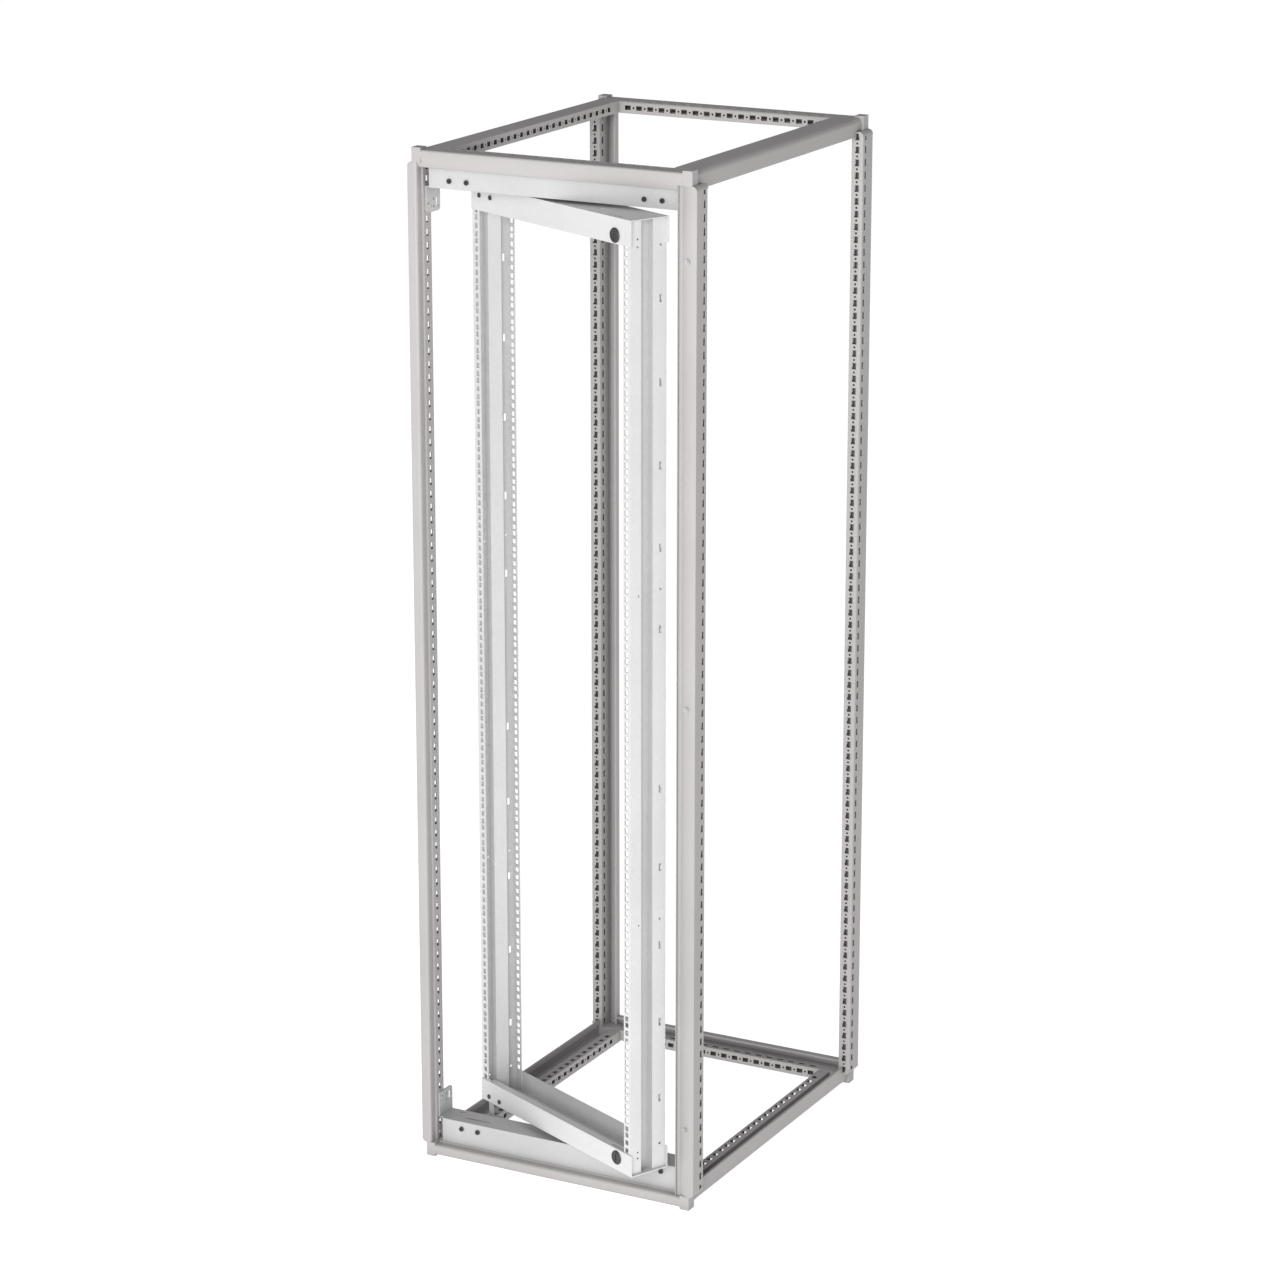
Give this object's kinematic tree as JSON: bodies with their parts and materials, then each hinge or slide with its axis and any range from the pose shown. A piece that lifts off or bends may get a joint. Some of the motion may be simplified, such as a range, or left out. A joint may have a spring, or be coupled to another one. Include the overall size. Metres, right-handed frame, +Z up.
{
  "type": "network server rack cabinet",
  "caption": "Open-frame network rack cabinet of perforated profiles with a hinged 19-inch swing frame held by quarter-turn locks.",
  "frame": {"origin": "middle of the bounding box at floor level, with the swing frame in its rest position opened by 25 degrees", "axes": "+Z up along the posts, -Y out of the front, +X to the right seen from the front"},
  "size_m": [0.6, 0.838, 2],
  "materials": {
    "painted_frame": "fine textured powder coat",
    "zinc_sheet": "matt zinc-plated sheet",
    "dark_steel": "blackened steel",
    "black_plastic": "fine matt"
  },
  "bodies": {
    "cabinet": {"post_front_left": "painted_frame", "post_front_right": "painted_frame", "post_rear_left": "painted_frame", "post_rear_right": "painted_frame", "rail_top_front": "painted_frame", "rail_top_rear": "painted_frame", "rail_top_left": "painted_frame", "rail_top_right": "painted_frame", "rail_bottom_front": "painted_frame", "rail_bottom_rear": "painted_frame", "rail_bottom_left": "painted_frame", "rail_bottom_right": "painted_frame", "corner_block_bottom_front_left": "painted_frame", "corner_block_bottom_front_right": "painted_frame", "corner_block_bottom_rear_left": "painted_frame", "corner_block_bottom_rear_right": "painted_frame", "corner_block_top_front_left": "painted_frame", "corner_block_top_front_right": "painted_frame", "corner_block_top_rear_left": "painted_frame", "corner_block_top_rear_right": "painted_frame", "door_lugs_front": "zinc_sheet", "door_lugs_rear": "zinc_sheet", "mount_channel_top": "zinc_sheet", "mount_channel_bottom": "zinc_sheet", "mount_screws_top": "dark_steel", "mount_screws_bottom": "dark_steel", "tab_screws": "zinc_sheet", "hinge_arm_top": "zinc_sheet", "hinge_arm_bottom": "zinc_sheet", "hinge_pin_top": "zinc_sheet", "hinge_pin_bottom": "zinc_sheet", "keeper_top": "zinc_sheet", "keeper_bottom": "zinc_sheet"},
    "swing_frame": {"swing_channel_top": "zinc_sheet", "swing_channel_bottom": "zinc_sheet", "profile_left": "zinc_sheet", "profile_right": "zinc_sheet", "hinge_bush_top": "black_plastic", "hinge_bush_bottom": "black_plastic", "swing_screws": "dark_steel", "lock_body_top": "black_plastic", "lock_body_bottom": "black_plastic"},
    "lock_top": {"lock_core_top": "black_plastic", "lock_cam_top": "zinc_sheet"},
    "lock_bottom": {"lock_core_bottom": "black_plastic", "lock_cam_bottom": "zinc_sheet"}
  },
  "joints": [
    {"name": "swing_hinge", "type": "hinge", "parent": "cabinet", "child": "swing_frame", "pos_m": [-0.2156, -0.20346, 1], "axis": [0, 0, -1], "range_deg": [-25, 80]},
    {"name": "lock_top_turn", "type": "hinge", "parent": "swing_frame", "child": "lock_top", "pos_m": [0.171, -0.39918, 1.8865], "axis": [0.4226, 0.9063, 0], "range_deg": [0, 90]},
    {"name": "lock_bottom_turn", "type": "hinge", "parent": "swing_frame", "child": "lock_bottom", "pos_m": [0.171, -0.39918, 0.1126], "axis": [-0.4226, -0.9063, 0], "range_deg": [0, 90]}
  ]
}
